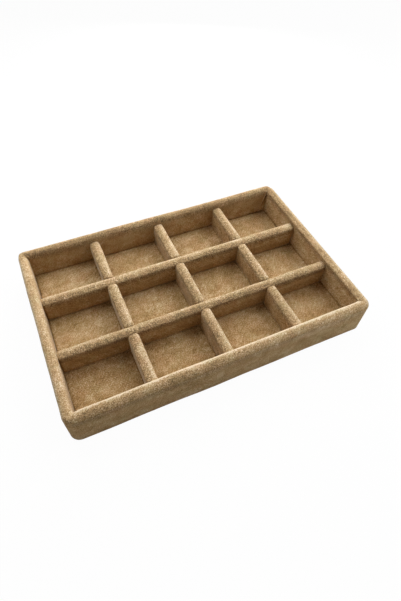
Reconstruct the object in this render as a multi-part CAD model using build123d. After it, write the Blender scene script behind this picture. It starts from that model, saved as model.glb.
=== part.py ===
"""Velvet jewelry tray with twelve compartments.

A low open tray that lies on a drawer bottom or a counter. Four mitred fibreboard walls stand round a
fibreboard base. One velvet wrap goes under the walls, up the outside, over the rounded rim and down the
inside to the base. A velvet-covered card makes the floor. On it stand two long dividers that run from side
wall to side wall, and nine short dividers between them, each a board in its own velvet cover with soft
rounded ends. A thin felt under the base hides the wrap's turned-in hem.

Millimetres. X runs along the long side, Y towards the back, Z up. The origin is the middle of the underside.
"""

import os

from build123d import *

# Outside of the finished tray
tray_length = 220.0
tray_width = 146.0
tray_height = 28.0
corner_radius = 7.0

# Velvet wrap, backing and pile together
velvet = 1.1
hem_round = 0.9
inside_corner_radius = 1.0

# Wall boards, with the rounding of their upper edges
wall_board = 4.5
rim_round_outside = 2.2
rim_round_inside = 0.8

# Layers of the bottom, from the underside up
underside_felt = 0.8
underside_inset = 2.5
base_board = 3.0
floor_card = 1.0
floor_velvet = 0.8
floor_edge_round = 0.3
floor_gap = 0.15

# Dividers
columns = 4
rows = 3
divider_board = 4.2
divider_velvet = 1.1
divider_height = 18.3
divider_round = 1.9
divider_end_gap = 0.1

# A fillet takes at most this share of the thinnest wall that carries it
fillet_limit_share = 0.45

# Heights, counted from the surface that the tray stands on
base_top = underside_felt + base_board
card_top = base_top + floor_card
floor_top = card_top + floor_velvet
board_bottom = underside_felt + velvet
board_top = tray_height - velvet

# Plan sizes of the boards and of the space inside the walls
frame_length = tray_length - 2 * velvet
frame_width = tray_width - 2 * velvet
base_length = frame_length - 2 * wall_board
base_width = frame_width - 2 * wall_board
inside_length = base_length - 2 * velvet
inside_width = base_width - 2 * velvet

# Divider grid
divider_thickness = divider_board + 2 * divider_velvet
cell_length = (inside_length - (columns - 1) * divider_thickness) / columns
cell_width = (inside_width - (rows - 1) * divider_thickness) / rows
column_names = ["left", "centre", "right"]
row_names = ["front", "middle", "back"]
long_names = ["front", "back"]


def slab(length, width, low, high, radius=0.0):
    """A plate centred on the Z axis between two heights, with rounded vertical corners if a radius is given."""
    plan = RectangleRounded(length, width, radius) if radius else Rectangle(length, width)
    return Pos(0, 0, low) * extrude(plan, high - low)


def top_edges(solid):
    """The edges of a solid's highest flat face."""
    return solid.faces().sort_by(Axis.Z)[-1].edges()


def frame_body():
    """Outer shape of the board frame before its walls are cut out: rounded corners and a rounded rim."""
    body = slab(frame_length, frame_width, board_bottom, board_top, corner_radius - velvet)
    radius = min(rim_round_outside, fillet_limit_share * wall_board)
    return fillet(top_edges(body), radius)


def mitred_board(body, span, half_width):
    """The board along -Y of a frame with this inside span. Its ends are mitred through the frame's corners."""
    reach = wall_board + velvet
    outline = Polyline(
        (-span / 2 - reach, -half_width - reach),
        (span / 2 + reach, -half_width - reach),
        (span / 2, -half_width),
        (-span / 2, -half_width),
        close=True,
    )
    board = body & (Pos(0, 0, board_bottom) * extrude(make_face(outline), board_top - board_bottom))
    inner_edge = top_edges(board).sort_by(Axis.Y)[-1]
    return fillet(inner_edge, min(rim_round_inside, fillet_limit_share * wall_board))


def wall_boards():
    """The four mitred wall boards, by name."""
    body = frame_body()
    front = mitred_board(body, base_length, base_width / 2)
    right = mitred_board(Rot(0, 0, -90) * body, base_width, base_length / 2)
    right = Rot(0, 0, 90) * right
    return {
        "wall_board_front": front,
        "wall_board_back": Rot(0, 0, 180) * front,
        "wall_board_right": right,
        "wall_board_left": Rot(0, 0, 180) * right,
    }


def base_panel():
    """The base board, which fits between the wall boards."""
    return slab(base_length, base_width, underside_felt, base_top)


def velvet_wrap(boards):
    """The velvet round the walls: hem, outside, rim and inside in one skin that follows the boards."""
    skin = slab(tray_length, tray_width, underside_felt, tray_height, corner_radius)
    skin = fillet(top_edges(skin), min(rim_round_outside, fillet_limit_share * wall_board) + velvet)
    skin = fillet(skin.faces().sort_by(Axis.Z)[0].edges(), hem_round)
    skin -= slab(inside_length, inside_width, underside_felt, tray_height, inside_corner_radius)
    inner_loop = skin.faces().sort_by(Axis.Z)[-1].inner_wires()[0].edges()
    skin = fillet(inner_loop, min(rim_round_inside, fillet_limit_share * wall_board) + velvet)
    for board in boards.values():
        skin -= board
    return skin - base_panel()


def floor_pieces():
    """The floor card and the velvet glued on it, cut to one size and laid inside the wrap."""
    pad_length = inside_length - 2 * floor_gap
    pad_width = inside_width - 2 * floor_gap
    card = slab(pad_length, pad_width, base_top, card_top, inside_corner_radius)
    cover = slab(pad_length, pad_width, card_top, floor_top, inside_corner_radius)
    cover = fillet(top_edges(cover), min(floor_edge_round, fillet_limit_share * floor_velvet))
    return {"floor_card": card, "floor_velvet": cover}


def soft_block(length, thickness, height, radius):
    """A block along X that stands on the floor, with its upright and upper edges rounded alike."""
    block = slab(length, thickness, floor_top, floor_top + height)
    upright = block.edges().filter_by(Axis.Z)
    return fillet([*upright, *top_edges(block)], min(radius, fillet_limit_share * thickness))


def divider(length):
    """The board and the velvet cover of one divider along X, centred on the Z axis."""
    cover = soft_block(length, divider_thickness, divider_height, divider_round)
    board = soft_block(
        length - 2 * divider_velvet,
        divider_board,
        divider_height - divider_velvet,
        divider_round - divider_velvet,
    )
    return board, cover - board


def long_dividers():
    """The two dividers that run from side wall to side wall."""
    board, cover = divider(inside_length - 2 * divider_end_gap)
    made = {}
    for number, name in enumerate(long_names, start=1):
        across = -inside_width / 2 + number * cell_width + (number - 0.5) * divider_thickness
        made[f"long_divider_board_{name}"] = Pos(0, across, 0) * board
        made[f"long_divider_velvet_{name}"] = Pos(0, across, 0) * cover
    return made


def short_dividers():
    """The nine dividers that part each row into its compartments."""
    board, cover = divider(cell_width - 2 * divider_end_gap)
    made = {}
    for row, row_name in enumerate(row_names):
        across = -inside_width / 2 + (row + 0.5) * cell_width + row * divider_thickness
        for number, column_name in enumerate(column_names, start=1):
            along = -inside_length / 2 + number * cell_length + (number - 0.5) * divider_thickness
            place = Pos(along, across, 0) * Rot(0, 0, 90)
            made[f"short_divider_board_{row_name}_{column_name}"] = place * board
            made[f"short_divider_velvet_{row_name}_{column_name}"] = place * cover
    return made


def felt_cover():
    """The thin felt glued under the base, over the wrap's hem."""
    radius = max(corner_radius - underside_inset, inside_corner_radius)
    return slab(
        tray_length - 2 * underside_inset, tray_width - 2 * underside_inset, 0, underside_felt, radius
    )


walls = wall_boards()
pieces = {
    "underside_felt": felt_cover(),
    "base_board": base_panel(),
    **walls,
    "velvet_wrap": velvet_wrap(walls),
    **floor_pieces(),
    **long_dividers(),
    **short_dividers(),
}

os.makedirs("parts", exist_ok=True)
for node, piece in pieces.items():
    export_step(piece, f"parts/{node}.step")
print("wrote", len(pieces), "nodes")
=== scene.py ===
"""Looks of a velvet jewelry tray with twelve compartments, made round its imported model.

The boards and the floor card keep the model's own solids and get a finish each. Every velvet skin and the
felt underneath are surfaces worked out here: a profile carried round a plan, or a plate on a grid. The pile's
relief then raises them along their normals. Lengths are metres, and what the model sets is read from it.
"""

import logging
import math
from dataclasses import dataclass, field
from enum import Enum
from typing import Callable, Sequence

import bmesh
import bpy
import numpy as np
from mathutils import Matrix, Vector


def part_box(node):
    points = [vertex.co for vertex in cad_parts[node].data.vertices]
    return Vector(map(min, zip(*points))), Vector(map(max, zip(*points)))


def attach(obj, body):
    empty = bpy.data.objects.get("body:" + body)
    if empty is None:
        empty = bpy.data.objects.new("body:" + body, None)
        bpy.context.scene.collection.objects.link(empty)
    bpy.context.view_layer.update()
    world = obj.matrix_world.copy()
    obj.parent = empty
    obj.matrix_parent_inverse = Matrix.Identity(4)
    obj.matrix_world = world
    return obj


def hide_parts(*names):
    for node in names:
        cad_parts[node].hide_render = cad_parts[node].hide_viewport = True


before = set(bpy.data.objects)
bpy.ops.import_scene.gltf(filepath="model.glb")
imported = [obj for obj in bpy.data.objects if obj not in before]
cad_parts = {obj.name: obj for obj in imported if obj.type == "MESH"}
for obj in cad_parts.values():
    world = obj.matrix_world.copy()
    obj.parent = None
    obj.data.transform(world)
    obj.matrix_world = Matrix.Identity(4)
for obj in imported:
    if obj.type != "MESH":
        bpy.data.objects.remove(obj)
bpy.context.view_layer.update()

MM = 0.001
BODY = "root"
WELD = 0.001 * MM
MIDDLE = 0.5
MARKS = ("ruffle", "shade", "lay", "stir", "opened")

Array = np.ndarray
Pair = tuple[float, float]
Triple = tuple[float, float, float]
Colour = Triple
WHITE: Colour = (1.0, 1.0, 1.0)
RIGHT, LEFT = (1.0, 0.0), (-1.0, 0.0)
BACK, FRONT = (0.0, 1.0), (0.0, -1.0)
log = logging.getLogger("tray")


class Slot(Enum):
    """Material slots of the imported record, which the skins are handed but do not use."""

    VELVET = "velvet"
    FELT = "felt"


class Held(Enum):
    """How a cut piece of cloth is held."""

    STRETCHED = "stretched"
    FOLDED = "folded"
    LAID = "laid"


# Shader graph


@dataclass(frozen=True)
class Blots:
    """One noise of a finish, whose blots are about long by across in size, turned by turn in degrees.

    Where across is 0 they are round. share says how much of the noise goes into the tone.
    """

    long: float
    share: float = 1.0
    detail: float = 1.0
    distortion: float = 0.0
    across: float = 0.0
    turn: float = 0.0


class Wire:
    """One output of a node. Python's operators on it add Math nodes."""

    def __init__(self, graph: "Graph", socket: bpy.types.NodeSocket) -> None:
        """Wrap a socket of this graph."""
        self.graph = graph
        self.socket = socket

    def _maths(self, operation: str, first: object, second: object) -> "Wire":
        """Add one Math node on two values, each a wire or a number."""
        return self.graph.add("ShaderNodeMath", {"operation": operation}, {0: first, 1: second})

    def __add__(self, other: object) -> "Wire":
        """Sum."""
        return self._maths("ADD", self, other)

    __radd__ = __add__

    def __sub__(self, other: object) -> "Wire":
        """Difference."""
        return self._maths("SUBTRACT", self, other)

    def __rsub__(self, other: object) -> "Wire":
        """Difference with this wire on the right."""
        return self._maths("SUBTRACT", other, self)

    def __mul__(self, other: object) -> "Wire":
        """Product."""
        return self._maths("MULTIPLY", self, other)

    def above(self, low: float, high: float) -> "Wire":
        """Smooth step from 0 at low to 1 at high."""
        values = {"Value": self, "From Min": low, "From Max": high}
        return self.graph.add("ShaderNodeMapRange", {"interpolation_type": "SMOOTHSTEP"}, values)


class Graph:
    """The node tree of one material or world, emptied first. Its noises are stretched by spread."""

    spread: float = 3.2

    def __init__(self, tree: bpy.types.NodeTree) -> None:
        """Start on an empty tree."""
        self.tree = tree
        tree.nodes.clear()

    def add(
        self, kind: str, settings: dict | None = None, values: dict | None = None, output: int | str = 0
    ) -> Wire:
        """Add one node.

        Args:
            kind: Blender's type name of the node.
            settings: the node's own properties, set first.
            values: what goes into its sockets, by name or number: wires, numbers or colours.
            output: name or number of the output that the wire stands for.

        Returns:
            That output as a wire, or the first input of a node that has no output.
        """
        node = self.tree.nodes.new(kind)
        for name, value in (settings or {}).items():
            setattr(node, name, value)
        for name, value in (values or {}).items():
            socket = node.inputs[name]
            if isinstance(value, Wire):
                self.tree.links.new(value.socket, socket)
            elif socket.type == "RGBA":
                socket.default_value = (*value, 1.0)
            else:
                socket.default_value = value
        return Wire(self, node.outputs[output]) if len(node.outputs) else Wire(self, node.inputs[0])

    def mix(self, factor: object, first: object, second: object, blend: str = "MIX") -> Wire:
        """Blend of two colours, by a factor from 0 for the first alone to 1."""
        values = {"Factor": factor, 6: first, 7: second}
        return self.add("ShaderNodeMix", {"data_type": "RGBA", "blend_type": blend}, values, 2)

    def ramp(self, tone: Wire, stops: Sequence[tuple[float, Colour]]) -> Wire:
        """Colour of a tone.

        Args:
            tone: the tone, from 0 to 1.
            stops: position and colour of each stop, in order.

        Returns:
            The colour.
        """
        wire = self.add("ShaderNodeValToRGB", None, {"Fac": tone}, "Color")
        elements = wire.socket.node.color_ramp.elements
        while len(elements) < len(stops):
            elements.new(1.0)
        for element, (position, colour) in zip(elements, stops):
            element.position = position
            element.color = (*colour, 1.0)
        return wire

    def bump(self, relief: Wire, height: float, strength: float) -> Wire:
        """Normal bent by a relief that is height high where its value is 1."""
        values = {"Height": relief, "Distance": height, "Strength": strength}
        return self.add("ShaderNodeBump", None, values, "Normal")

    def finish(self, values: dict) -> None:
        """End a material in a Principled shader with these values in its sockets."""
        shader = self.add("ShaderNodeBsdfPrincipled", None, values)
        self.add("ShaderNodeOutputMaterial", None, {"Surface": shader})

    def noise(self, where: Wire, blots: Blots) -> Wire:
        """Noise about its middle, from near -1 to 1.

        Args:
            where: the point, in metres.
            blots: its size and kind. For long ones the point is turned and counted in lengths and widths.

        Returns:
            The noise, before it is multiplied by its share.
        """
        scale = 1.0 / blots.long
        if blots.across:
            values = {"Vector": where, "Angle": math.radians(blots.turn)}
            turned = self.add("ShaderNodeVectorRotate", {"rotation_type": "Z_AXIS"}, values)
            counts = (scale, 1.0 / blots.across, 1.0 / blots.across)
            where = self.add("ShaderNodeVectorMath", {"operation": "MULTIPLY"}, {0: turned, 1: counts})
            scale = 1.0
        values = {"Vector": where, "Scale": scale, "Detail": blots.detail, "Distortion": blots.distortion}
        return self.add("ShaderNodeTexNoise", None, values) * self.spread - self.spread / 2

    def shifted(self, where: Wire, by: float) -> Wire:
        """The point moved by this length along each axis, for a second noise unlike the first."""
        return self.add("ShaderNodeVectorMath", {"operation": "ADD"}, {0: where, 1: (by, by, by)})


def new_graph(name: str) -> tuple[bpy.types.Material, Graph]:
    """Start a material.

    Args:
        name: what it is called.

    Returns:
        The material, and the graph to fill.
    """
    material = bpy.data.materials.new(name)
    material.use_nodes = True
    return material, Graph(material.node_tree)


def linked(name: str, data: bpy.types.ID) -> bpy.types.Object:
    """Put a new object into the scene.

    Args:
        name: what it is called.
        data: the mesh, lamp or camera that it shows.

    Returns:
        The object.
    """
    made = bpy.data.objects.new(name, data)
    bpy.context.scene.collection.objects.link(made)
    return made


@dataclass(frozen=True)
class Velvet:
    """Short plush. Its tone follows how the nap lies, and is most restless, and palest, over turned edges.

    How the nap lies paints light into the tone: the far sides of turned edges are painted paler, as
    highlight, and the near sides darker, as shade. Ruffled edges are also mixed paler and greyer, partly as
    wear and partly as painted sheen. grain_shares are the grain's own share, what it gains over turned edges
    and what it gains where the nap is stirred. relief_shares belong to streak, clump and grain. A span is
    where a smooth step begins and ends. shifts set the noises of the pits, their groups and the hue apart
    from the others.
    """

    name: str = "beige_velvet"
    deep: Colour = (0.13, 0.078, 0.03)
    body: Colour = (0.428, 0.265, 0.112)
    pale: Colour = (0.57, 0.43, 0.255)
    pale_tone: float = 0.75
    tip: Colour = (0.76, 0.62, 0.44)
    # Ruffled edges are mixed towards this colour: partly wear, partly painted sheen.
    worn_and_sheen: Colour = (0.60, 0.52, 0.42)
    worn_and_sheen_share: float = 0.08
    rosy: Colour = (1.05, 0.975, 0.98)
    olive: Colour = (0.95, 1.005, 0.97)
    patch: Blots = Blots(30.0 * MM, share=0.05, distortion=0.4)
    cloud: Blots = Blots(9.0 * MM, share=0.17, detail=2.0, distortion=0.8)
    band: Blots = Blots(34.0 * MM, share=0.1, distortion=0.6, across=7.0 * MM)
    streak: Blots = Blots(4.2 * MM, share=0.28, distortion=0.8, across=1.0 * MM, turn=-48.0)
    clump: Blots = Blots(2.4 * MM, share=0.2, distortion=1.2)
    grain: Blots = Blots(0.64 * MM)
    grain_shares: Triple = (0.24, 0.2, 0.35)
    pit: Blots = Blots(0.85 * MM, share=0.62)
    pit_span: Pair = (0.0, 0.8)
    pit_group: Blots = Blots(7.0 * MM)
    group_span: Pair = (-0.6, 0.5)
    hue: Blots = Blots(9.0 * MM, share=0.5, detail=2.0)
    # These three paint light by the nap's lie: shade on the near sides of turned edges, a highlight on the
    # far sides.
    lay_span: Pair = (-0.6, 0.15)
    near_painted_shade: float = 0.2
    far_painted_highlight: float = 0.16
    shade_depth: float = 0.22
    relief_shares: Triple = (0.18, 0.15, 0.4)
    relief_height: float = 0.24 * MM
    relief_strength: float = 0.5
    roughness_fall: float = 0.12
    specular: float = 0.12
    sheen: float = 0.5
    sheen_roughness: float = 0.25
    sheen_tint: Colour = (1.0, 0.88, 0.68)
    shifts: Triple = (0.37, 0.53, 0.71)

    def material(self) -> bpy.types.Material:
        """The velvet as a material.

        Returns:
            A material that reads the cloth's own UV map, its marks and object coordinates.
        """
        material, graph = new_graph(self.name)
        place = graph.add("ShaderNodeTexCoord", output="Object")
        cloth = graph.add("ShaderNodeUVMap", {"uv_map": "cloth"})
        ruffle, shade, lay, stir, opened = (
            graph.add("ShaderNodeAttribute", {"attribute_name": mark}, output="Fac") for mark in MARKS
        )
        pit_place, group_place, hue_place = (graph.shifted(place, shift) for shift in self.shifts)
        patch, cloud, clump, grain = (
            graph.noise(place, blots) for blots in (self.patch, self.cloud, self.clump, self.grain)
        )
        band, streak = (graph.noise(cloth, blots) for blots in (self.band, self.streak))
        group = graph.noise(group_place, self.pit_group).above(*self.group_span)
        pit = graph.noise(pit_place, self.pit).above(*self.pit_span) * group
        own, over_edges, where_stirred = self.grain_shares
        coarse = (streak * self.streak.share + clump * self.clump.share) * stir
        nap = coarse + grain * (ruffle * over_edges + stir * where_stirred + own)
        drift = patch * self.patch.share + cloud * self.cloud.share + band * self.band.share
        # Painted light by the nap's lie over turned edges: shade where it lies low, a highlight where it lies
        # high.
        laid = lay.above(*self.lay_span) * (self.near_painted_shade + self.far_painted_highlight) - self.near_painted_shade
        # Painted shade and highlight from the shade mark, and the dark pits of the open pile.
        darker = shade * self.shade_depth + opened * pit * self.pit.share
        tone = nap + drift + laid * ruffle - darker + MIDDLE
        stops = [(0.0, self.deep), (MIDDLE, self.body), (self.pale_tone, self.pale), (1.0, self.tip)]
        # Ruffled edges mixed paler and greyer: partly wear, partly painted sheen.
        plain = graph.mix(ruffle * self.worn_and_sheen_share, graph.ramp(tone, stops), self.worn_and_sheen)
        hue = graph.noise(hue_place, self.hue) * self.hue.share + MIDDLE
        tint = graph.mix(hue, self.olive, self.rosy)
        of_streak, of_clump, of_grain = self.relief_shares
        relief = streak * of_streak + clump * of_clump + grain * of_grain
        graph.finish({
            "Base Color": graph.mix(1.0, plain, tint, "MULTIPLY"),
            "Roughness": 1.0 - tone * self.roughness_fall,
            "Normal": graph.bump(relief, self.relief_height, self.relief_strength),
            "Specular IOR Level": self.specular,
            "Sheen Weight": self.sheen,
            "Sheen Roughness": self.sheen_roughness,
            "Sheen Tint": self.sheen_tint,
        })
        return material


@dataclass(frozen=True)
class PressedBoard:
    """Board of pressed fibres: a pale ground with darker flecks, clouds of them and a fine grain."""

    name: str
    ground: Colour
    fleck: Colour
    flecks: Blots
    clouds: Blots
    grain: Blots = Blots(0.5 * MM, share=0.12)
    least_share: float = 0.3
    roughness: float = 0.8
    roughness_spread: float = 0.05
    fleck_relief: float = 0.5
    relief_height: float = 0.1 * MM
    relief_strength: float = 0.4

    def material(self) -> bpy.types.Material:
        """The board as a material.

        Returns:
            A material that reads object coordinates.
        """
        material, graph = new_graph(self.name)
        place = graph.add("ShaderNodeTexCoord", output="Object")
        flecks, clouds, grain = (
            graph.noise(place, blots) for blots in (self.flecks, self.clouds, self.grain)
        )
        share = flecks * self.flecks.share + clouds * self.clouds.share + grain * self.grain.share
        relief = grain + flecks * self.fleck_relief
        graph.finish({
            "Base Color": graph.mix((share + self.least_share).above(0.0, 1.0), self.ground, self.fleck),
            "Roughness": self.roughness + grain * self.roughness_spread,
            "Normal": graph.bump(relief, self.relief_height, self.relief_strength),
        })
        return material


@dataclass(frozen=True)
class Felt:
    """Thin needled felt: matted fibres in two tones. Two crossed sets of streaks stand for the fibres."""

    name: str = "brown_felt"
    dark: Colour = (0.10, 0.062, 0.034)
    light: Colour = (0.24, 0.16, 0.095)
    mat: Blots = Blots(3.0 * MM, share=0.2, detail=3.0, distortion=1.0)
    one_way: Blots = Blots(4.0 * MM, share=0.22, distortion=1.5, across=0.35 * MM, turn=25.0)
    other_way: Blots = Blots(4.0 * MM, share=0.22, distortion=1.5, across=0.35 * MM, turn=115.0)
    relief_height: float = 0.2 * MM
    relief_strength: float = 0.5
    roughness_fall: float = 0.08
    specular: float = 0.15
    sheen: float = 0.2
    sheen_roughness: float = 0.5

    def material(self) -> bpy.types.Material:
        """The felt as a material.

        Returns:
            A material that reads object coordinates.
        """
        material, graph = new_graph(self.name)
        place = graph.add("ShaderNodeTexCoord", output="Object")
        blots = (self.mat, self.one_way, self.other_way)
        mat, one_way, other_way = (graph.noise(place, each) for each in blots)
        tone = mat * self.mat.share + one_way * self.one_way.share + other_way * self.other_way.share + MIDDLE
        graph.finish({
            "Base Color": graph.ramp(tone, [(0.0, self.dark), (1.0, self.light)]),
            "Roughness": 1.0 - tone * self.roughness_fall,
            "Normal": graph.bump(one_way + other_way + mat, self.relief_height, self.relief_strength),
            "Specular IOR Level": self.specular,
            "Sheen Weight": self.sheen,
            "Sheen Roughness": self.sheen_roughness,
        })
        return material


# Surfaces


@dataclass(frozen=True)
class Box:
    """The box of one node of the model."""

    low: Array
    high: Array

    @classmethod
    def of(cls, node: str) -> "Box":
        """The box of the node of this name."""
        low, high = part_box(node)
        return cls(np.array(low), np.array(high))

    @property
    def size(self) -> Array:
        """Its three lengths."""
        return self.high - self.low

    @property
    def centre(self) -> Array:
        """Its middle."""
        return (self.low + self.high) / 2


@dataclass(frozen=True)
class Waves:
    """Soft random relief: plane waves in all directions, added up.

    Height at p = height * sqrt(2 / count) * sum of cos(k . p + phase). Each k points in a random direction,
    and its wavelength lies within a third of the stated one.
    """

    wavelength: float
    height: float
    seed: int
    count: int = 28

    def at(self, points: Array) -> Array:
        """The relief's height at each point.

        Args:
            points: the points, one row each.

        Returns:
            One height for each point.
        """
        draw = np.random.default_rng(self.seed)
        direction = draw.normal(size=(self.count, 3))
        direction /= np.linalg.norm(direction, axis=1, keepdims=True)
        length = self.wavelength * draw.uniform(2 / 3, 4 / 3, size=(self.count, 1))
        phase = draw.uniform(0, 2 * math.pi, size=self.count)
        waves = np.cos(points @ (direction * 2 * math.pi / length).T + phase)
        return self.height * math.sqrt(2 / self.count) * waves.sum(axis=1)


def along(start: Pair, end: Pair, step: float) -> Array:
    """Evenly spaced points on a straight line.

    Args:
        start: the first point.
        end: where the line ends, without a point there.
        step: about how far apart the points lie.

    Returns:
        One row for each point.
    """
    start, end = np.array(start), np.array(end)
    count = max(1, round(float(np.linalg.norm(end - start)) / step))
    share = np.arange(count)[:, None] / count
    return start + (end - start) * share


def path(corners: Sequence[Pair], step: float) -> Array:
    """Evenly spaced points on straight lines from corner to corner, without the last corner."""
    return np.concatenate([along(start, end, step) for start, end in zip(corners, corners[1:])])


def arc(
    centre: Pair, reach: Pair, first: float, last: float, step: float, power: float = 2.0
) -> Array:
    """Part of a superellipse: centre + reach * (cos a, sin a), each to the power 2 / power, with its sign.

    Args:
        centre: the middle.
        reach: half widths along both axes.
        first: angle a at the first point, in degrees.
        last: angle at which it ends, without a point there.
        step: about how far apart the points lie.
        power: 2 for an ellipse, and more for a boxier curve.

    Returns:
        One row for each point.
    """
    count = max(3, math.ceil(max(reach) * math.radians(abs(last - first)) / step))
    angle = np.radians(first + (last - first) * np.arange(count) / count)
    turned = np.stack([np.cos(angle), np.sin(angle)], axis=1)
    return np.array(centre) + np.array(reach) * np.sign(turned) * np.abs(turned) ** (2.0 / power)


def rounded_plan(half: Pair, radius: float, counts: tuple[int, ...], gather: float = 0.0) -> Array:
    """Points round a rectangle with quarter-circle corners, anticlockwise from the far end of its +X side.

    The points of a side lie at s - gather * sin(2 pi s) / (2 pi), for s from 0 to 1 in even steps.

    Args:
        half: half the rectangle's lengths along X and Y.
        radius: radius of its corners.
        counts: how many points lie on a side along X, on a side along Y and on a corner.
        gather: how much closer the points lie at the ends of a side, from 0 to below 1.

    Returns:
        One row of x and y for each point.
    """
    inner_x, inner_y = half[0] - radius, half[1] - radius
    on_x, on_y, on_corner = counts
    ends = [(inner_x, inner_y), (-inner_x, inner_y), (-inner_x, -inner_y), (inner_x, -inner_y)]
    stretches = []
    for number, (centre, following) in enumerate(zip(ends, ends[1:] + ends[:1])):
        angle = np.pi / 2 * (number + np.arange(on_corner) / on_corner)
        stretches.append(np.array(centre) + radius * np.stack([np.cos(angle), np.sin(angle)], axis=1))
        leaving = np.pi / 2 * (number + 1)
        offset = radius * np.array([math.cos(leaving), math.sin(leaving)])
        count = on_x if number % 2 == 0 else on_y
        share = np.arange(count)[:, None] / count
        share = share - gather * np.sin(2 * np.pi * share) / (2 * np.pi)
        stretches.append(offset + np.array(centre) + (np.array(following) - np.array(centre)) * share)
    return np.concatenate(stretches)


def unit(values: Array) -> Array:
    """The values, kept between 0 and 1."""
    return np.clip(values, 0.0, 1.0)


def hump(place: Array, middle: Array | float, width: float) -> Array:
    """A smooth hump about a middle: exp(-((place - middle) / width)^2)."""
    return np.exp(-(((place - middle) / width) ** 2))


def lengths_along(line: Array) -> Array:
    """Distance covered along a line of points, 0 at the first."""
    steps = np.linalg.norm(np.diff(line, axis=0), axis=1)
    return np.concatenate([[0.0], np.cumsum(steps)])


@dataclass
class Grid:
    """A surface as rows and columns of points, with each point's place on the flat cloth."""

    points: Array
    cloth: Array

    def faces(self) -> Array:
        """Corner numbers of each quad between neighbouring rows and columns.

        Returns:
            One row of four for each quad.
        """
        rows, columns = self.points.shape[:2]
        number = np.arange(rows * columns).reshape(rows, columns)
        corners = [number[:-1, :-1], number[:-1, 1:], number[1:, 1:], number[1:, :-1]]
        return np.stack(corners, axis=-1).reshape(-1, 4)


def carried(profile: Array, plan_at: Callable[[float], Array], middle: float) -> Grid:
    """A profile carried round a plan: each of its points follows the plan at its own inset and height.

    Args:
        profile: one row of inset and height for each point, closed if its ends agree.
        plan_at: the plan's line at an inset from its edge, with the same number of points each time.
        middle: inset of the line along which the cloth is measured.

    Returns:
        A grid closed round the plan.
    """
    lines = [plan_at(inset) for inset in profile[:, 0]]
    plan = np.stack([np.vstack([line, line[:1]]) for line in lines])
    height = np.broadcast_to(profile[:, 1][:, None, None], (*plan.shape[:2], 1))
    across = np.broadcast_to(lengths_along(profile)[:, None], plan.shape[:2])
    measured = plan_at(middle)
    round_it = np.broadcast_to(lengths_along(np.vstack([measured, measured[:1]]))[None], plan.shape[:2])
    return Grid(np.concatenate([plan, height], axis=2), np.stack([round_it, across], axis=2))


@dataclass
class Skin:
    """A closed cloth surface on its way to becoming a piece of the scene."""

    name: str
    grids: list[Grid]
    mesh: bpy.types.Mesh = field(init=False)

    def __post_init__(self) -> None:
        """Join the grids, weld what meets, and turn the faces outwards."""
        starts = np.cumsum([0] + [grid.points.shape[0] * grid.points.shape[1] for grid in self.grids])
        points = np.concatenate([grid.points.reshape(-1, 3) for grid in self.grids])
        cloth = np.concatenate([grid.cloth.reshape(-1, 2) for grid in self.grids])
        faces = np.concatenate([grid.faces() + start for grid, start in zip(self.grids, starts)])
        self.mesh = bpy.data.meshes.new(self.name)
        self.mesh.from_pydata(points.tolist(), [], faces.tolist())
        layer = self.mesh.uv_layers.new(name="cloth")
        layer.data.foreach_set("uv", cloth[faces.ravel()].astype(np.float32).ravel())
        work = bmesh.new()
        work.from_mesh(self.mesh)
        bmesh.ops.remove_doubles(work, verts=work.verts, dist=WELD)
        bmesh.ops.dissolve_degenerate(work, edges=work.edges, dist=WELD)
        bmesh.ops.recalc_face_normals(work, faces=work.faces)
        work.to_mesh(self.mesh)
        work.free()
        self.mesh.shade_smooth()
        self.mesh.update()

    @staticmethod
    def _rows(source: bpy.types.bpy_prop_collection, name: str) -> Array:
        """What each member of a collection has under a name.

        Args:
            source: the collection.
            name: the property to read.

        Returns:
            One row of three numbers for each member.
        """
        flat = np.empty(len(source) * 3, np.float32)
        source.foreach_get(name, flat)
        return flat.reshape(-1, 3).astype(float)

    def points(self) -> Array:
        """The mesh's points, one row each."""
        return self._rows(self.mesh.vertices, "co")

    def normals(self) -> Array:
        """The mesh's point normals, one row each."""
        return self._rows(self.mesh.vertex_normals, "vector")

    def move(self, points: Array) -> None:
        """Put the mesh's points here."""
        self.mesh.vertices.foreach_set("co", points.astype(np.float32).ravel())
        self.mesh.update()

    def raise_pile(self, relief: Sequence[Waves], share: Array) -> None:
        """Raise each point along its normal by the sum of the reliefs times its own share.

        Args:
            relief: the waves that are added up.
            share: how much of them each point takes, from 0 to 1.
        """
        points = self.points()
        height = sum(waves.at(points) for waves in relief) * share
        self.move(points + self.normals() * height[:, None])

    def mark(self, **marks: Array | float) -> None:
        """Store one number for each point under each mark's name, which the material reads.

        Args:
            marks: each mark's values, one for each point or one for all.
        """
        for name, values in marks.items():
            layer = self.mesh.attributes.new(name, "FLOAT", "POINT")
            each = np.broadcast_to(values, len(self.mesh.vertices))
            layer.data.foreach_set("value", each.astype(np.float32))

    def piece(
        self,
        material: bpy.types.Material,
        slot: Slot,
        replaced: str,
        flat: Pair,
        held: Held,
        rests_on: Sequence[str],
    ) -> None:
        """Hand the surface to the scene as one piece of cloth that rides on the tray.

        Args:
            material: its finish.
            slot: the record's slot for that finish. Not used.
            replaced: the node that it stands for.
            flat: width and length of its cut. Not used.
            held: how it is held. Not used.
            rests_on: the nodes that carry it. Not used.
        """
        self.mesh.materials.append(material)
        made = linked(self.name, self.mesh)
        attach(made, BODY)
        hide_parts(replaced)
        log.info("%s: %d faces", self.name, len(self.mesh.polygons))


def ruffle_of(points: Array, top: float, calm: float = 5.5 * MM, full: float = 2.5 * MM) -> Array:
    """How restless the nap is: 0 up to a height of top - calm, and rising evenly to 1 at top - full."""
    return unit((points[:, 2] - (top - calm)) / (calm - full))


def stir_of(brushed: Array, ruffle: Array, calm: float, full: float, more: float = 0.3) -> Array:
    """How strongly streaks and clumps show: calm, plus more where brushed, and full where ruffle is 1."""
    still = calm + more * brushed
    return still + (full - still) * ruffle


# The tray's pieces


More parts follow.
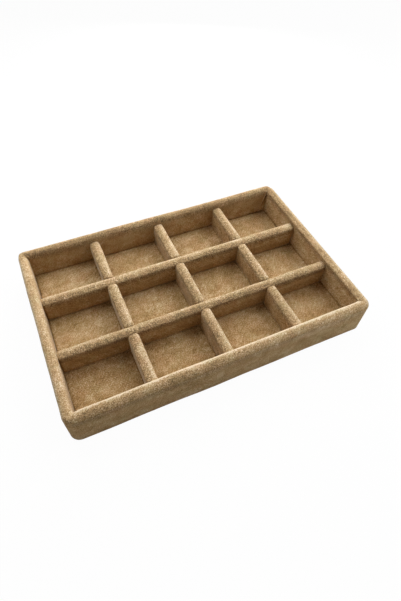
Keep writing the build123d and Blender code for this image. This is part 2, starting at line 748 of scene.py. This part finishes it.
@dataclass(frozen=True)
class Gather:
    """A crease where the cloth is drawn into an inside corner. It starts at the rim and runs down a wall.

    A thin ridge leaves the corner's upright by width at the rim, and by lean times the drop below it. The
    valley lies between the two. Depth = deep * fade * (valley - rise * crest), where valley is a hump of
    aside / ridge about valley_at, and crest a hump of aside about the ridge. fade grows over the first two
    widths of drop and falls to 0 by reach. The corner is given by the signs of its x and y, and the wall by
    the axis that it runs along.
    """

    corner: tuple[int, int]
    axis: int
    deep: float
    lean: float = 0.3
    width: float = 0.42 * MM
    rise: float = 1.1
    reach: float = 19.0 * MM
    fading: float = 0.7
    valley_at: float = 0.45
    valley_width: float = 0.3

    def at(self, aside: Array, drop: Array) -> Array:
        """Depth of the crease.

        Args:
            aside: each point's distance from the corner's upright.
            drop: how far each point lies below the rim.

        Returns:
            One depth for each point.
        """
        ridge = self.width + self.lean * np.clip(drop, 0.0, None)
        valley = hump(aside / ridge, self.valley_at, self.valley_width)
        crest = hump(aside, ridge, self.width)
        fade = unit(drop / (2.0 * self.width)) * unit(1.0 - drop / self.reach) ** self.fading
        return self.deep * fade * (valley - self.rise * crest)


@dataclass(frozen=True)
class Lie:
    """How the nap lies over the rim of one wall.

    inward is the direction from the wall to the tray's middle. lay is the nap's lie at the rim's outer edge,
    middle and inner edge: positive where it lies away from the camera. The velvet paints light by it: a low
    lay is painted shade, a high one a painted highlight. The pile opens by opened at open_at. pale is a
    painted highlight at pale_at, and painted shade where it is negative. open_at and pale_at are counted from
    -1 at the outer edge to 1 at the inner one. The wall's inner face is painted paler by face, as painted
    light. The rim is painted paler by turn towards its right or back end, and darker by as much towards the
    other, as painted light and shade. Over the rim the nap is calmer by hush.
    """

    inward: Pair
    lay: Triple
    opened: float
    open_at: float
    pale: float = 0.0
    pale_at: float = 0.0
    face: float = 0.0
    turn: float = 0.0
    hush: float = 0.0


@dataclass(frozen=True)
class OnWrap:
    """Where each of the wrap's points lies.

    inset is the distance from the tray's outside along X and Y. across goes from -1 at the rim's outer edge
    to 1 at the inner one, and inward is the direction to the middle of the tray. shows is true on the side
    of the cloth that shows, and inside on the walls' inner faces.
    """

    inset: Array
    across: Array
    inward: Array
    shows: Array
    inside: Array


@dataclass
class WallWrap:
    """The velvet round the walls, from the hem under them over the rim and down the inside to the base.

    back_hush is how much calmer the nap is on the outer faces towards the right and the back.
    """

    corner_radius: float = 7.0 * MM
    inside_corner_radius: float = 0.6 * MM
    rim_outside: Pair = (3.5 * MM, 3.4 * MM)
    rim_inside: Pair = (2.2 * MM, 2.0 * MM)
    puff: float = 0.4 * MM
    lean: Pair = (-1.2 * MM, 0.9 * MM)
    lean_from: float = 2.5 * MM
    lean_at: float = 0.5
    lean_width: float = 1.5
    opening: float = 0.35
    paling: float = 0.28
    calm: float = 0.33
    restless: float = 0.52
    back_hush: float = 0.6
    calm_below: float = 7.5 * MM
    mitre: float = 1.5 * MM
    seam_width: float = 0.8 * MM
    # Crease depth that gives a full step of painted shade in the valley; the ridge is painted paler as
    # highlight.
    crease_shade: float = 0.42 * MM
    hem_round: float = 0.9 * MM
    station: float = 0.95 * MM
    gather: float = 0.6
    row: float = 1.0 * MM
    rim_row: float = 0.5 * MM
    hidden_row: float = 6.0 * MM
    hidden_round: float = 1.5 * MM
    corner_stations: int = 14
    sway: Waves = Waves(55.0 * MM, 0.1 * MM, seed=11)
    swell: Waves = Waves(14.0 * MM, 0.03 * MM, seed=12)
    lies: tuple[Lie, ...] = (
        Lie(RIGHT, (0.25, -0.23, -0.05), opened=0.1, open_at=-0.2, pale=1.0, pale_at=-0.75, hush=0.4),
        Lie(LEFT, (0.3, -0.4, -0.5), opened=0.7, open_at=0.1, face=0.35, turn=-0.4),
        Lie(BACK, (-0.3, -0.2, 0.57), opened=0.9, open_at=-0.2, pale=2.1, pale_at=0.78, turn=0.4, hush=0.2),
        Lie(
            FRONT, (0.15, -0.3, -0.6), opened=0.7, open_at=0.4, pale=-0.4, pale_at=0.6, face=0.36, turn=0.3
        ),
    )
    creases: tuple[Gather, ...] = (
        Gather((1, 1), axis=0, deep=1.2 * MM),
        Gather((1, 1), axis=1, deep=0.2 * MM),
        Gather((-1, 1), axis=0, deep=0.2 * MM, lean=0.4),
        Gather((1, -1), axis=1, deep=0.25 * MM, lean=0.35),
        Gather((-1, -1), axis=1, deep=0.2 * MM),
    )

    def __post_init__(self) -> None:
        """Read the sizes that the model sets."""
        outside, board = Box.of("velvet_wrap"), Box.of("wall_board_left")
        self.half = outside.size[:2] / 2
        self.low, self.top = outside.low[2], outside.high[2]
        self.thickness = board.low[2] - self.low
        self.wall = board.size[0] + 2 * self.thickness
        self.board_top = board.high[2]
        self.base_top = Box.of("base_board").high[2]
        self.floor_top = Box.of("floor_velvet").high[2]
        self.inner_face = self.wall - self.thickness

    def shown_profile(self) -> Array:
        """Inset and height of the side that shows, from hem to inside. The pile puffs up over the rim.

        Returns:
            One row for each point.
        """
        low, top = self.low, self.top + self.puff
        face = self.wall + self.puff
        out, inn, hem = self.rim_outside, self.rim_inside, self.hem_round
        return np.concatenate([
            along((self.inner_face, low), (hem, low), self.row),
            arc((hem, low + hem), (hem, hem), 270, 180, self.rim_row),
            along((0.0, low + hem), (0.0, top - out[1]), self.row),
            arc((out[0], top - out[1]), out, 180, 90, self.rim_row),
            along((out[0], top), (face - inn[0], top), self.rim_row),
            arc((face - inn[0], top - inn[1]), inn, 90, 0, self.rim_row),
            along((face, top - inn[1]), (self.wall, self.base_top), self.row),
        ])

    def hidden_profile(self) -> Array:
        """Inset and height of the side glued to the boards, from the base back to the hem's end.

        Returns:
            One row for each point.
        """
        low, foot, top = self.low + self.thickness, self.board_top - self.hidden_round, self.board_top
        out, face, bend = self.thickness, self.inner_face, self.hidden_round
        return np.concatenate([
            path([(self.wall, self.base_top), (face, self.base_top), (face, foot)], self.hidden_row),
            arc((face - bend, foot), (bend, bend), 0, 90, self.hidden_row),
            along((face - bend, top), (out + bend, top), self.hidden_row),
            arc((out + bend, foot), (bend, bend), 90, 180, self.hidden_row),
            path([(out, foot), (out, low), (face, low), (face, self.low)], self.hidden_row),
            [[face, self.low]],
        ])

    def crease_depth(self, points: Array) -> Array:
        """Depth of the corner creases on the walls' inner faces.

        Args:
            points: the wrap's points, one row each.

        Returns:
            One depth for each point.
        """
        drop = self.top - points[:, 2]
        aside = self.half - self.wall - np.abs(points[:, :2])
        depth = np.zeros(len(points))
        for crease in self.creases:
            on_wall = aside[:, 1 - crease.axis] < self.rim_inside[0] / 2
            on_wall &= aside[:, crease.axis] > self.inside_corner_radius / 4
            on_wall &= np.all(np.sign(points[:, :2]) == crease.corner, axis=1)
            depth += crease.at(aside[:, crease.axis], drop) * on_wall
        return depth

    def build(self) -> Skin:
        """Carry the whole profile round the walls and raise the pile on the side that shows.

        Returns:
            The finished skin.
        """
        shown, hidden = self.shown_profile(), self.hidden_profile()
        sides = (round(2 * (half - self.wall) / self.station) for half in self.half)
        counts = (*sides, self.corner_stations)
        crest = self.wall - self.rim_inside[0]

        def plan_at(inset: float) -> Array:
            """The walls' plan at an inset. Its corners tighten to the inner radius by the crest.

            Args:
                inset: distance from the tray's outside.

            Returns:
                One row of x and y for each point.
            """
            share = max(0.0, 1.0 - inset / crest)
            radius = self.inside_corner_radius + (self.corner_radius - self.inside_corner_radius) * share
            return rounded_plan(tuple(self.half - inset), radius, counts, self.gather)

        skin = Skin("velvet_wrap_skin", [carried(np.concatenate([shown, hidden]), plan_at, self.wall / 2)])
        points = skin.points()
        at = self.placed(points)
        crease = self.crease_depth(points) * at.inside * at.shows
        self.lay_nap(skin, at, crease)
        self.pull(skin, at, crease)
        skin.raise_pile([self.sway, self.swell], at.shows.astype(float))
        self.flat = (float(lengths_along(shown)[-1]), float(lengths_along(plan_at(self.wall / 2))[-1]))
        return skin

    def placed(self, points: Array) -> OnWrap:
        """Where these points of the wrap lie. Near a corner inward turns over from one wall to the next.

        Args:
            points: the points, one row each.

        Returns:
            Their places.
        """
        inset = self.half - np.abs(points[:, :2])
        depth = np.minimum(inset[:, 0], inset[:, 1])
        shows = (depth < self.thickness / 2) | (depth > self.wall - self.thickness / 2)
        shows |= points[:, 2] > self.board_top + self.thickness / 4
        inside = (depth > self.wall - self.rim_inside[0]) & (points[:, 2] > self.base_top)
        inward = -np.sign(points[:, :2]) * np.exp(-(inset - depth[:, None]) / self.mitre)
        inward /= np.linalg.norm(inward, axis=1, keepdims=True)
        across = 2 * unit(depth / self.wall) - 1
        return OnWrap(inset, across, inward, shows, inside)

    def lay_nap(self, skin: Skin, at: OnWrap, crease: Array) -> None:
        """Mark how the nap lies over each rim, where it is calm or open, and its painted light and shade.

        Args:
            skin: the wrap.
            at: where its points lie.
            crease: each point's depth of crease.
        """
        points, normals = skin.points(), skin.normals()
        ruffle = ruffle_of(points, self.top, self.calm_below) * at.shows
        lay, opened, pale, face, hush = np.zeros((5, len(points)))
        for lie in self.lies:
            share = unit(at.inward @ np.array(lie.inward)) ** 2
            turned = lie.turn * (points[:, :2] / self.half) @ np.abs(lie.inward)[::-1]
            lay += share * np.interp(at.across, (-1.0, 0.0, 1.0), lie.lay)
            opened += share * lie.opened * hump(at.across, lie.open_at, self.opening)
            pale += share * (lie.pale * hump(at.across, lie.pale_at, self.paling) + turned)
            face += share * lie.face
            hush += share * lie.hush
        stir = stir_of(np.abs(normals[:, 0]) * at.inside, ruffle, self.calm, self.restless)
        behind = unit(normals[:, :2].max(axis=1)) * ~at.inside
        beside = np.maximum(at.inset[:, 0], at.inset[:, 1]) - self.wall
        nearest = np.minimum(np.abs(beside), np.abs(points[:, 2] - self.floor_top))
        indoors = at.inside & at.shows
        # Painted shade along the walls' foot and down their inner corners.
        painted_seam_shade = hump(nearest, 0.0, self.seam_width) * indoors
        # Painted light: highlights at pale_at, paler inner faces, and the rim painted paler towards one end.
        lit = pale * ruffle + face * (1 - ruffle / 2) * indoors
        # shade also holds painted shade in each crease's valley and a painted highlight on its ridge.
        skin.mark(
            ruffle=ruffle,
            shade=painted_seam_shade + crease / self.crease_shade - lit,
            lay=lay,
            stir=stir * (1 - hush * ruffle) * (1 - self.back_hush * behind),
            opened=opened * ruffle,
        )

    def pull(self, skin: Skin, at: OnWrap, crease: Array) -> None:
        """Sink the creases and pull the rim over.

        Pull = lean * (1 - ((across - lean_at) / lean_width)^2). It sets in at lean_from below the boards' top
        and grows evenly upwards.

        Args:
            skin: the wrap.
            at: where its points lie.
            crease: each point's depth of crease.
        """
        points = skin.points() - skin.normals() * crease[:, None]
        foot = self.board_top - self.lean_from
        risen = unit((points[:, 2] - foot) / (self.top - foot)) * at.shows
        fall = ((at.across - self.lean_at) / self.lean_width) ** 2
        pulled = (at.inward @ np.array(self.lean)) * (1 - fall)
        points[:, :2] += at.inward * (pulled * risen)[:, None]
        skin.move(points)

    def dress(self, finish: bpy.types.Material) -> None:
        """Build the wrap and hand it to the scene."""
        boards = [f"wall_board_{side}" for side in ("front", "back", "left", "right")]
        self.build().piece(finish, Slot.VELVET, "velvet_wrap", self.flat, Held.STRETCHED, boards)


@dataclass
class Plate:
    """A thin flat piece of cloth with rounded corners: the floor's velvet or the felt underneath."""

    node: str
    corner_radius: float
    edge_round: float
    step: float

    def __post_init__(self) -> None:
        """Read the plate's box."""
        self.box = Box.of(self.node)
        self.half = self.box.size[:2] / 2

    def plan(self, places: Array) -> Array:
        """Rounded-rectangle plan of a grid on the plate's box.

        In each corner the square of the corner radius becomes a quarter disc. There (s, t) goes to
        (s sqrt(1 - t t / 2), t sqrt(1 - s s / 2)), which leaves the two sides that meet the plate alone.

        Args:
            places: x and y of each point of the grid.

        Returns:
            The same places on the plan.
        """
        inner = self.half - self.corner_radius
        share = unit((np.abs(places) - inner) / self.corner_radius)
        disc = share * np.sqrt(1 - share[..., ::-1] ** 2 / 2)
        in_corner = np.all(share > 0, axis=-1, keepdims=True)
        return np.where(in_corner, np.sign(places) * (inner + self.corner_radius * disc), places)

    def stations(self, axis: int) -> Array:
        """Places along one axis: an even middle, and closer rows over the rounded edge.

        Args:
            axis: 0 for X and 1 for Y.

        Returns:
            The places, in order.
        """
        half = self.half[axis]
        rounded = self.edge_round * (1 - np.cos(np.radians([0.0, 30.0, 60.0])))
        count = max(2, round(2 * (half - self.edge_round) / self.step))
        middle = np.linspace(-half + self.edge_round, half - self.edge_round, count + 1)
        return np.concatenate([-half + rounded, middle, (half - rounded)[::-1]])

    def build(self) -> Skin:
        """Top, sides and underside as three grids that share their borders.

        Returns:
            The plate's skin.
        """
        places = np.stack(np.meshgrid(self.stations(0), self.stations(1), indexing="ij"), axis=-1)
        plan = self.plan(places)
        fall = unit(1 - (self.half - np.abs(places)).min(axis=-1) / self.edge_round)
        drop = self.edge_round * (1 - np.sqrt(unit(1 - fall * fall)))
        top = np.dstack([plan, self.box.high[2] - drop])
        under = np.dstack([plan, np.full(drop.shape, self.box.low[2])])
        rim = np.concatenate([top[:-1, 0], top[-1, :-1], top[:0:-1, -1], top[0, :0:-1], top[:1, 0]])
        foot = rim.copy()
        foot[:, 2] = self.box.low[2]
        parts = (top, under, np.stack([rim, foot]))
        return Skin(f"{self.node}_sheet", [Grid(part, part[..., :2].copy()) for part in parts])

    def flat(self) -> Pair:
        """Width and length of the cut."""
        return float(self.box.size[1]), float(self.box.size[0])


@dataclass
class FloorVelvet(Plate):
    """The floor's velvet. It swells a little in each compartment and dips along the compartment's ends."""

    node: str = "floor_velvet"
    corner_radius: float = 1.0 * MM
    edge_round: float = 0.3 * MM
    step: float = 1.3 * MM
    relief: tuple[Waves, ...] = (Waves(30.0 * MM, 0.06 * MM, seed=21), Waves(8.0 * MM, 0.02 * MM, seed=22))
    stir: float = 0.56
    crown: float = 0.1 * MM
    groove: float = 0.18 * MM
    groove_width: float = 0.8 * MM
    crown_power: int = 6
    close_step: float = 0.35 * MM
    close_reach: float = 2.1 * MM
    least_upward: float = 0.5

    def compartments(self, axis: int) -> Array:
        """The compartments' ends along an axis.

        Args:
            axis: 0 for X and 1 for Y.

        Returns:
            One row of low and high for each.
        """
        kind = "short_divider_velvet" if axis == 0 else "long_divider_velvet"
        boxes = [Box.of(name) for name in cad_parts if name.startswith(kind)]
        spans = sorted({(round(box.low[axis], 6), round(box.high[axis], 6)) for box in boxes})
        lows = [self.box.low[axis], *(span[1] for span in spans)]
        highs = [*(span[0] for span in spans), self.box.high[axis]]
        return np.array([lows, highs]).T

    def stations(self, axis: int) -> Array:
        """The plate's even places, with closer ones near each end of each compartment.

        Args:
            axis: 0 for X and 1 for Y.

        Returns:
            The places, in order.
        """
        offsets = np.arange(-self.close_reach, self.close_reach + self.close_step / 2, self.close_step)
        ends = self.compartments(axis).ravel() - self.box.centre[axis]
        inner = self.half[axis] - self.edge_round
        close = np.concatenate([offsets + end for end in ends])
        close = close[np.abs(close) < inner - self.close_step / 2]
        even = super().stations(axis)
        apart = np.abs(even[:, None] - ends).min(axis=1)
        kept = even[(apart > self.close_reach + self.step / 3) | (np.abs(even) >= inner - WELD)]
        return np.unique(np.concatenate([kept, close]).round(7))

    def swelling(self, points: Array) -> tuple[Array, Array]:
        """Shares of the crown and of the groove at each point.

        Crown = (1 - |u|^crown_power)(1 - |v|^crown_power), with u and v from -1 to 1 across a compartment.
        The groove is a hump of the distance to the compartment's nearest end.

        Args:
            points: the points, one row each.

        Returns:
            The crown's share and the groove's.
        """
        crown, nearest = np.ones(len(points)), np.full(len(points), np.inf)
        inside = np.ones(len(points), bool)
        for axis in (0, 1):
            spans = self.compartments(axis)
            cell = np.argmin(np.abs(points[:, axis, None] - spans.mean(axis=1)), axis=1)
            low, high = spans[cell].T
            across = (points[:, axis] - (low + high) / 2) / ((high - low) / 2)
            crown *= 1 - unit(np.abs(across)) ** self.crown_power
            inside &= np.abs(across) <= 1.0
            for end in (low, high):
                nearest = np.minimum(nearest, np.abs(points[:, axis] - end))
        return crown, hump(nearest, 0.0, self.groove_width) * inside

    def dress(self, finish: bpy.types.Material) -> None:
        """Build the floor and hand it to the scene.

        Args:
            finish: the velvet.
        """
        skin = self.build()
        upper = skin.normals()[:, 2] > self.least_upward
        crown, groove = self.swelling(skin.points())
        # The grooves along the compartments' ends are painted darker, as painted shade.
        skin.mark(ruffle=0.0, shade=groove * upper, lay=0.0, stir=self.stir, opened=0.0)
        skin.raise_pile(self.relief, crown * upper)
        points = skin.points()
        points[:, 2] += (self.crown * crown - self.groove * groove) * upper
        skin.move(points)
        skin.piece(finish, Slot.VELVET, self.node, self.flat(), Held.LAID, ["floor_card"])


@dataclass
class UndersideFelt(Plate):
    """The felt glued under the base. Its lower face stays flat, because the tray rests on it."""

    node: str = "underside_felt"
    corner_radius: float = 4.5 * MM
    edge_round: float = 0.2 * MM
    step: float = 2.0 * MM

    def dress(self, finish: bpy.types.Material) -> None:
        """Build the felt and hand it to the scene."""
        self.build().piece(finish, Slot.FELT, self.node, self.flat(), Held.LAID, ["base_board"])


@dataclass
class DividerCover:
    """The velvet of one divider: both sides, the rounded ends and the rounded top, open underneath.

    Each of nap, flattest, opened, hush and side_shade is a pair, for a cover thin along X and one thin along
    Y. The nap lies by nap times the place across the top, but no flatter than flattest, and the velvet paints
    light by that lie: the top's far edge paler, as highlight, and its near edge darker, as shade. hush is how
    much calmer it is at hush_at. side_shade paints shade on the sides, and dulled paints shade on the top.
    """

    name: str
    seed: int
    top_painted_shade: float = 0.0
    rounding: float = 1.9 * MM
    crown_drop: float = 2.5 * MM
    crown_power: float = 3.0
    lean: float = 1.3 * MM
    puff: Pair = (0.5 * MM, 0.35 * MM)
    seam_width: float = 0.8 * MM
    station: float = 0.8 * MM
    row: float = 0.8 * MM
    rim_row: float = 0.4 * MM
    hidden_row: float = 5.0 * MM
    belly: float = 0.12 * MM
    sway: Pair = (40.0 * MM, 0.08 * MM)
    swell: Pair = (12.0 * MM, 0.03 * MM)
    foot: float = 0.15
    calm: float = 0.4
    restless: float = 0.68
    nap: Pair = (0.6, 0.8)
    flattest: Pair = (-0.4, -0.8)
    opened: Pair = (0.9, 1.9)
    open_at: float = -0.58
    opening: float = 0.3
    hush: Pair = (0.2, 0.7)
    hush_at: float = 0.9
    hush_width: float = 0.6
    side_shade: Pair = (0.15, 0.0)
    corner_stations: int = 5

    def __post_init__(self) -> None:
        """Read the cover's and its board's boxes."""
        self.on_board = self.name.replace("velvet", "board")
        self.box, self.board = Box.of(self.name), Box.of(self.on_board)
        self.low, self.top, self.board_top = self.box.low[2], self.box.high[2], self.board.high[2]
        self.lies_along = int(np.argmax(self.box.size[:2]))
        self.length = self.box.size[self.lies_along]
        self.width = self.box.size[1 - self.lies_along]
        self.thickness = self.top - self.board_top

    def profile(self) -> Array:
        """Inset and height from the top's middle down the outside, round the edge and up the board's side.

        Returns:
            One row for each point.
        """
        out, up = self.puff
        low, top, deep = self.low, self.top + up, self.width / 2
        drop, bend, skin = self.crown_drop, self.rounding - self.thickness, self.thickness
        foot = self.board_top - bend
        return np.concatenate([
            arc((deep, top - drop), (deep + out, drop), 90, 180, self.rim_row, self.crown_power),
            along((-out, top - drop), (0.0, low), self.row),
            path([(0.0, low), (skin, low), (skin, foot)], self.hidden_row),
            arc((skin + bend, foot), (bend, bend), 180, 90, self.hidden_row),
            along((skin + bend, self.board_top), (deep, self.board_top), self.hidden_row),
            [[deep, self.board_top]],
        ])

    def build(self) -> Skin:
        """Carry the profile round the plan, lay it along its axis and raise the pile.

        Returns:
            The finished skin.
        """
        half = (self.length / 2, self.width / 2)
        counts = (
            round(2 * (half[0] - self.rounding) / self.station),
            round(2 * (half[1] - self.rounding) / self.rim_row),
            self.corner_stations,
        )

        def plan_at(inset: float) -> Array:
            """The cover's plan at an inset, whose corners tighten evenly until it ends in a ridge."""
            radius = self.rounding * max(0.0, 1.0 - inset / half[1])
            return rounded_plan((half[0] - max(0.0, inset), half[1] - inset), radius, counts)

        grid = carried(self.profile(), plan_at, 0.0)
        if self.lies_along == 1:
            grid.points[..., :2] = np.stack([-grid.points[..., 1], grid.points[..., 0]], axis=-1)
        grid.points[..., :2] += self.box.centre[:2]
        skin = Skin(f"{self.name}_skin", [grid])
        self.shape(skin)
        self.flat = (float(self.width + 2 * self.box.size[2]), float(self.length + self.width))
        return skin

    def shape(self, skin: Skin) -> None:
        """Lay the nap, lean the top, belly the sides and raise waves on the outside.

        Lean = lean * (1 - |across|), with across from -1 to 1 over the top. Belly = belly * sin(pi h), with h
        the height from 0 to 1. The waves grow evenly over the foot's share of the height.

        Args:
            skin: the cover.
        """
        points, side = skin.points(), 1 - self.lies_along
        reach = np.abs(points[:, :2] - self.box.centre[:2])
        shows = np.any(reach > self.board.size[:2] / 2 + self.thickness / 2, axis=1)
        shows |= points[:, 2] > self.board_top + self.thickness / 2
        shows = shows.astype(float)
        across = (points[:, side] - self.box.centre[side]) / (self.width / 2)
        to_end = self.length / 2 - reach[:, self.lies_along]
        self.lay_nap(skin, across, to_end, shows)
        rise = unit((points[:, 2] - self.low) / self.box.size[2])
        risen = unit((points[:, 2] - self.board_top) / self.thickness) * shows
        points[:, side] += self.lean * (1.0 - unit(np.abs(across))) * risen
        points += skin.normals() * (self.belly * np.sin(np.pi * rise) * shows)[:, None]
        skin.move(points)
        relief = [Waves(*self.sway, self.seed), Waves(*self.swell, self.seed + 1)]
        skin.raise_pile(relief, shows * unit(rise / self.foot))

    def lay_nap(self, skin: Skin, across: Array, to_end: Array, shows: Array) -> None:
        """Mark how the nap lies, which paints light over the top, where it is calm or open, and its painted
        shade.

        Args:
            skin: the cover.
            across: each point's place over the top, from -1 to 1.
            to_end: its distance from the cover's nearer end.
            shows: 1 on the side that shows, and 0 elsewhere.
        """
        points, side = skin.points(), 1 - self.lies_along
        ruffle = ruffle_of(points, self.top) * shows
        hush = self.hush[side] * hump(across, self.hush_at, self.hush_width) * ruffle
        nearest = np.minimum(to_end, points[:, 2] - self.low)
        # Painted shade along the cover's foot and at its ends.
        painted_seam_shade = hump(nearest, 0.0, self.seam_width) * shows
        # shade also holds painted shade on the sides, and on the top of a cover given a darker top.
        skin.mark(
            ruffle=ruffle,
            shade=painted_seam_shade + self.side_shade[side] * (1 - ruffle) * shows + self.top_painted_shade * ruffle,
            lay=np.maximum(np.clip(across, -1.0, 1.0) * self.nap[side], self.flattest[side]),
            stir=stir_of(np.abs(skin.normals()[:, 0]), ruffle, self.calm, self.restless) * (1 - hush),
            opened=hump(across, self.open_at, self.opening) * ruffle * self.opened[side],
        )

    def dress(self, finish: bpy.types.Material) -> None:
        """Build the cover and hand it to the scene."""
        self.build().piece(finish, Slot.VELVET, self.name, self.flat, Held.FOLDED, [self.on_board])


@dataclass
class Carcass:
    """The boards and the card inside, which keep the model's solids."""

    fibreboard: PressedBoard = PressedBoard(
        "fibreboard",
        ground=(0.36, 0.235, 0.13),
        fleck=(0.19, 0.11, 0.055),
        flecks=Blots(1.2 * MM, share=0.3, detail=2.0, distortion=0.8),
        clouds=Blots(9.6 * MM, share=0.15, detail=2.0),
    )
    greyboard: PressedBoard = PressedBoard(
        "greyboard",
        ground=(0.30, 0.28, 0.25),
        fleck=(0.13, 0.12, 0.11),
        flecks=Blots(0.9 * MM, share=0.3, detail=2.0, distortion=0.8),
        clouds=Blots(7.2 * MM, share=0.15, detail=2.0),
    )

    def dress(self) -> None:
        """Give each board and the card its finish."""
        wood, grey = self.fibreboard.material(), self.greyboard.material()
        for name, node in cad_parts.items():
            if "board" in name or name == "floor_card":
                node.data.materials.clear()
                node.data.materials.append(grey if name == "floor_card" else wood)
                log.info("%s: finished", name)


# The room


@dataclass(frozen=True)
class Softbox:
    """A round soft lamp that looks at the tray.

    At level 1 it lights a surface that faces it so that its colour renders as written. For that its power is
    pi squared times distance squared plus radius squared.
    """

    name: str
    around: float
    above: float
    distance: float
    size: float
    level: float
    tint: Colour = WHITE

    def build(self) -> None:
        """Put up the lamp, at its angles round the tray from +X and above the floor."""
        lamp = bpy.data.lights.new(self.name, "AREA")
        lamp.shape = "DISK"
        lamp.size = self.size
        lamp.color = self.tint
        lamp.energy = self.level * math.pi**2 * (self.distance**2 + (self.size / 2) ** 2)
        around, above = math.radians(self.around), math.radians(self.above)
        level = math.cos(above)
        towards = Vector((level * math.cos(around), level * math.sin(around), math.sin(above)))
        made = linked(self.name, lamp)
        made.location = towards * self.distance
        made.rotation_euler = towards.to_track_quat("Z", "Y").to_euler()


@dataclass(frozen=True)
class Studio:
    """Plain soft light, a pale floor and the camera of the photograph."""

    long_side: int = 601
    focal_pixels: float = 424.57
    sensor: float = 36.0
    camera_place: Triple = (-84.1 * MM, -180.6 * MM, 264.4 * MM)
    camera_turn: Triple = (37.145, -2.191, -24.565)
    near_clip: float = 0.01
    floor_size: float = 6.0
    floor_drop: float = 0.1 * MM
    floor_colour: Colour = (0.86, 0.86, 0.86)
    floor_glow: float = 0.97
    sky: float = 0.06
    lamps: tuple[Softbox, ...] = (
        Softbox("right_lamp", around=0.0, above=52.0, distance=0.8, size=0.6, level=0.5),
        Softbox("top_lamp", around=108.0, above=56.0, distance=0.38, size=0.34, level=0.6),
        Softbox("low_lamp", around=66.0, above=22.0, distance=0.5, size=0.35, level=0.68),
        Softbox(
            "fill_lamp", around=-40.0, above=8.0, distance=0.4, size=0.3, level=0.15, tint=(0.88, 0.98, 1.0)
        ),
        Softbox(
            "left_lamp", around=-165.0, above=28.0, distance=0.6, size=0.4, level=0.08, tint=(1.0, 0.92, 0.8)
        ),
    )

    @staticmethod
    def seen_directly(graph: Graph) -> Wire:
        """1 for what the camera sees, also by way of metal or glass, and 0 for what lights the tray.

        Args:
            graph: the nodes of the floor or of the sky.

        Returns:
            The number.
        """
        rays = ("Is Camera Ray", "Is Glossy Ray", "Is Transmission Ray")
        camera, glossy, through = (graph.add("ShaderNodeLightPath", output=ray) for ray in rays)
        return (camera + glossy + through).above(0.0, 1.0)

    def camera(self) -> None:
        """Set up the camera, whose focal length is focal_pixels where the image's long side is long_side."""
        data = bpy.data.cameras.new("camera")
        data.sensor_width = self.sensor
        data.lens = self.sensor * self.focal_pixels / self.long_side
        data.clip_start = self.near_clip
        made = linked("camera", data)
        made.location = self.camera_place
        made.rotation_euler = [math.radians(angle) for angle in self.camera_turn]
        bpy.context.scene.camera = made

    def floor(self) -> None:
        """Lay a large pale floor, which glows towards the camera and still takes the tray's shadow."""
        half, drop = self.floor_size / 2, -self.floor_drop
        corners = [(-half, -half, drop), (half, -half, drop), (half, half, drop), (-half, half, drop)]
        mesh = bpy.data.meshes.new("floor")
        mesh.from_pydata(corners, [], [(0, 1, 2, 3)])
        material, graph = new_graph("floor")
        seen = self.seen_directly(graph)
        matt = graph.add("ShaderNodeBsdfDiffuse", None, {"Color": self.floor_colour})
        glow = graph.add("ShaderNodeEmission", None, {"Color": WHITE})
        mixed = graph.add("ShaderNodeMixShader", None, {0: seen * self.floor_glow, 1: matt, 2: glow})
        graph.add("ShaderNodeOutputMaterial", None, {"Surface": mixed})
        mesh.materials.append(material)
        made = linked("floor", mesh)

    def light(self) -> None:
        """Put up the soft lamps, and a dim even sky that the camera sees white."""
        world = bpy.data.worlds.new("sky")
        world.use_nodes = True
        graph = Graph(world.node_tree)
        seen = self.seen_directly(graph)
        strength = seen * (1.0 - self.sky) + self.sky
        sky = graph.add("ShaderNodeBackground", None, {"Color": WHITE, "Strength": strength})
        graph.add("ShaderNodeOutputWorld", None, {"Surface": sky})
        bpy.context.scene.world = world
        for lamp in self.lamps:
            lamp.build()

    def build(self) -> None:
        """Set up camera, floor and light, and show colours as they are."""
        self.camera()
        self.floor()
        self.light()
        bpy.context.scene.view_settings.view_transform = "Standard"


def main() -> None:
    """Build the tray's pieces in order, then the room."""
    logging.basicConfig(level=logging.INFO, format="%(name)s %(message)s")
    velvet = Velvet().material()
    Carcass().dress()
    WallWrap().dress(velvet)
    FloorVelvet().dress(velvet)
    UndersideFelt().dress(Felt().material())
    covers = sorted(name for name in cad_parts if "divider_velvet" in name)
    # The front long divider's top is painted darker, as painted shade.
    top_painted_shade = {"long_divider_velvet_front": 0.24}
    seeds = range(100, 100 + 10 * len(covers), 10)
    for name, seed in zip(covers, seeds):
        DividerCover(name, seed, top_painted_shade=top_painted_shade.get(name, 0.0)).dress(velvet)
    Studio().build()


if __name__ == "__main__":
    main()
